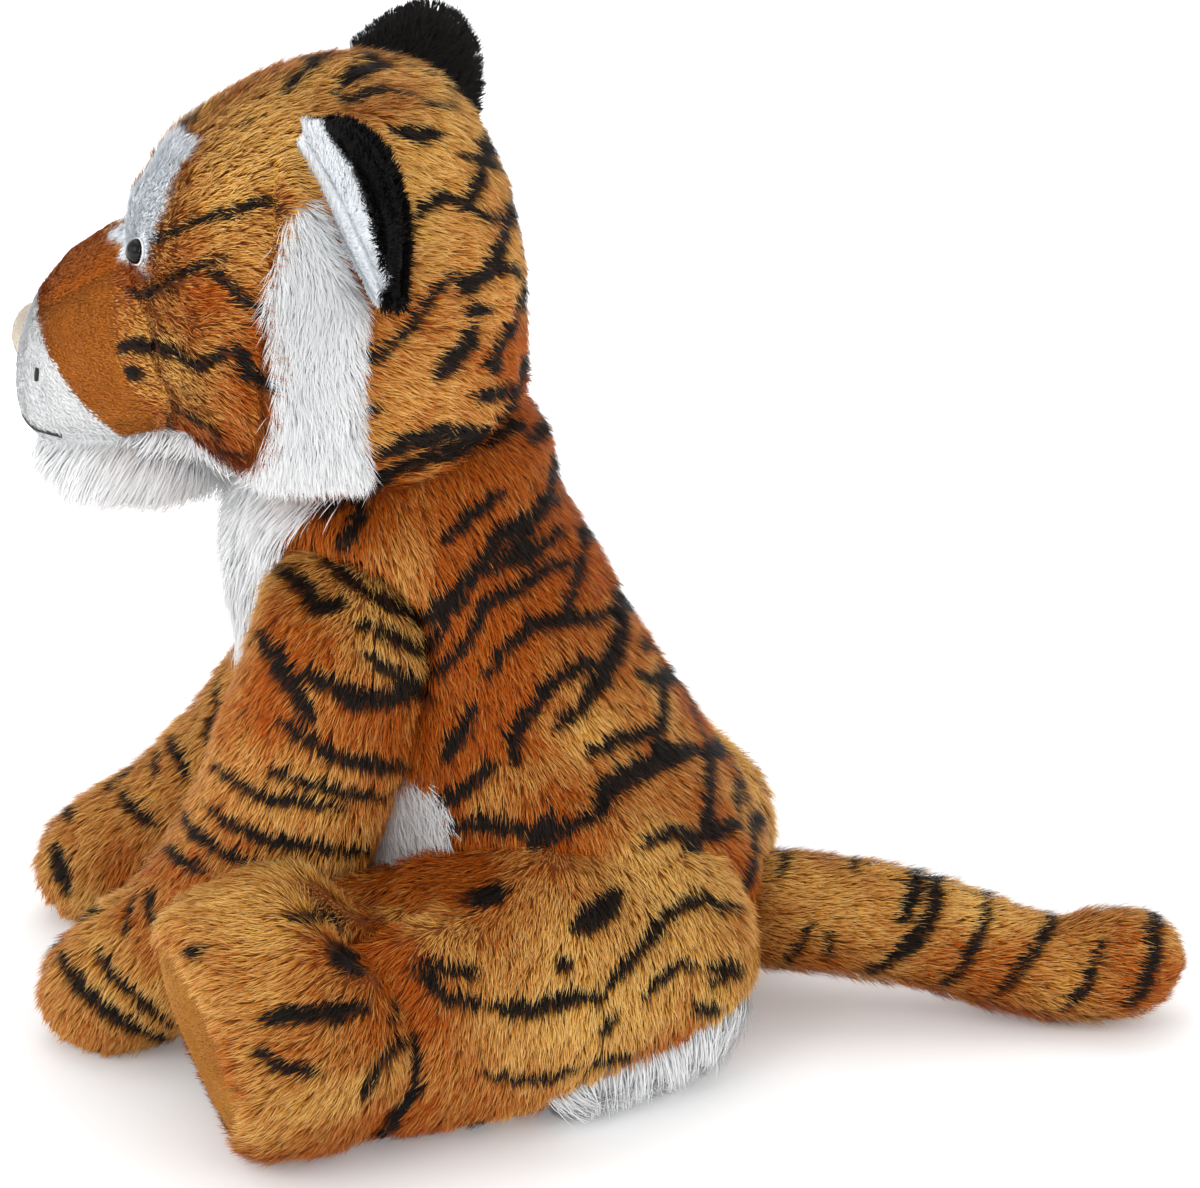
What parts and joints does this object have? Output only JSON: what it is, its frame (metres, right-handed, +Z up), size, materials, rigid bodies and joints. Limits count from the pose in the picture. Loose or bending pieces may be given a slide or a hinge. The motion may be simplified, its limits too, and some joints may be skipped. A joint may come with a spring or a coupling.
{
  "type": "plush tiger",
  "caption": "Seated plush tiger with striped orange fur, white muzzle, bib and ruffs, and a head, arms, legs, ears and tail that give and return.",
  "frame": {"origin": "on the flat seat under the middle of the body, at floor level", "axes": "+Z up, the tiger faces -Y and its own left side is +X"},
  "size_m": [0.3328, 0.4233, 0.348],
  "materials": {
    "striped_plush": "long golden orange pile with black stripes",
    "white_long_plush": "long white pile",
    "white_short_plush": "short white pile",
    "tan_short_plush": "short tan pile",
    "sole_plush": "short golden pile",
    "black_plush": "short black pile",
    "filling": "loose polyester fibre",
    "nose_pile": "smooth cream velour",
    "thread": "black embroidery thread",
    "eye": "polished black",
    "washer": "milky moulded plastic"
  },
  "bodies": {
    "body": {"body_cover": "striped_plush", "body_stuffing": "filling", "bib": "white_long_plush", "belly_panel": "white_long_plush"},
    "head": {"head_cover": "striped_plush", "head_stuffing": "filling", "snout_bridge": "tan_short_plush", "snout_side_left": "tan_short_plush", "snout_side_right": "tan_short_plush", "muzzle_left": "white_short_plush", "muzzle_right": "white_short_plush", "jaw_panel": "white_long_plush", "brow_patch_left": "white_long_plush", "brow_patch_right": "white_long_plush", "cheek_ruff_left": "white_long_plush", "cheek_ruff_right": "white_long_plush", "chin_tuft": "white_long_plush", "nose": "nose_pile", "mouth_stitch": "thread", "whisker_stitch_left": "thread", "whisker_stitch_right": "thread", "eye_left": "eye", "eye_right": "eye", "eye_washer_left": "washer", "eye_washer_right": "washer"},
    "ear_left": {"ear_back_left": "black_plush", "ear_inner_left": "white_short_plush"},
    "ear_right": {"ear_back_right": "black_plush", "ear_inner_right": "white_short_plush"},
    "arm_left": {"arm_left_cover": "striped_plush", "arm_left_stuffing": "filling"},
    "arm_right": {"arm_right_cover": "striped_plush", "arm_right_stuffing": "filling"},
    "leg_left": {"leg_left_cover": "striped_plush", "leg_left_stuffing": "filling", "leg_left_sole": "sole_plush"},
    "leg_right": {"leg_right_cover": "striped_plush", "leg_right_stuffing": "filling", "leg_right_sole": "sole_plush"},
    "tail": {"tail_cover": "striped_plush", "tail_stuffing": "filling"}
  },
  "joints": [
    {"name": "head_turn", "type": "hinge", "parent": "body", "child": "head", "pos_m": [0, -0.069, 0.195], "axis": [0, 0, 1], "range_deg": [-25, 25], "stiffness_Nm_per_rad": 0.4},
    {"name": "ear_fold_left", "type": "hinge", "parent": "head", "child": "ear_left", "pos_m": [0.0625, -0.0765, 0.311], "axis": [0.4633, 0.4953, -0.7349], "range_deg": [-12, 12], "stiffness_Nm_per_rad": 0.05},
    {"name": "ear_fold_right", "type": "hinge", "parent": "head", "child": "ear_right", "pos_m": [-0.0625, -0.0765, 0.311], "axis": [0.4633, -0.4953, 0.7349], "range_deg": [-12, 12], "stiffness_Nm_per_rad": 0.05},
    {"name": "shoulder_swing_left", "type": "hinge", "parent": "body", "child": "arm_left", "pos_m": [0.064, -0.086, 0.16], "axis": [-1, 0, 0], "range_deg": [0, 40], "stiffness_Nm_per_rad": 0.4},
    {"name": "shoulder_swing_right", "type": "hinge", "parent": "body", "child": "arm_right", "pos_m": [-0.064, -0.086, 0.16], "axis": [-1, 0, 0], "range_deg": [0, 40], "stiffness_Nm_per_rad": 0.4},
    {"name": "hip_spread_left", "type": "hinge", "parent": "body", "child": "leg_left", "pos_m": [0.02601, 0.06, 0.0485], "axis": [0, 0, 1], "range_deg": [0, 25], "stiffness_Nm_per_rad": 0.4},
    {"name": "hip_spread_right", "type": "hinge", "parent": "body", "child": "leg_right", "pos_m": [-0.02601, 0.06, 0.0485], "axis": [0, 0, -1], "range_deg": [0, 25], "stiffness_Nm_per_rad": 0.4},
    {"name": "tail_swing", "type": "hinge", "parent": "body", "child": "tail", "pos_m": [0, 0.062, 0.038], "axis": [0, 0, 1], "range_deg": [-30, 30], "stiffness_Nm_per_rad": 0.2}
  ]
}
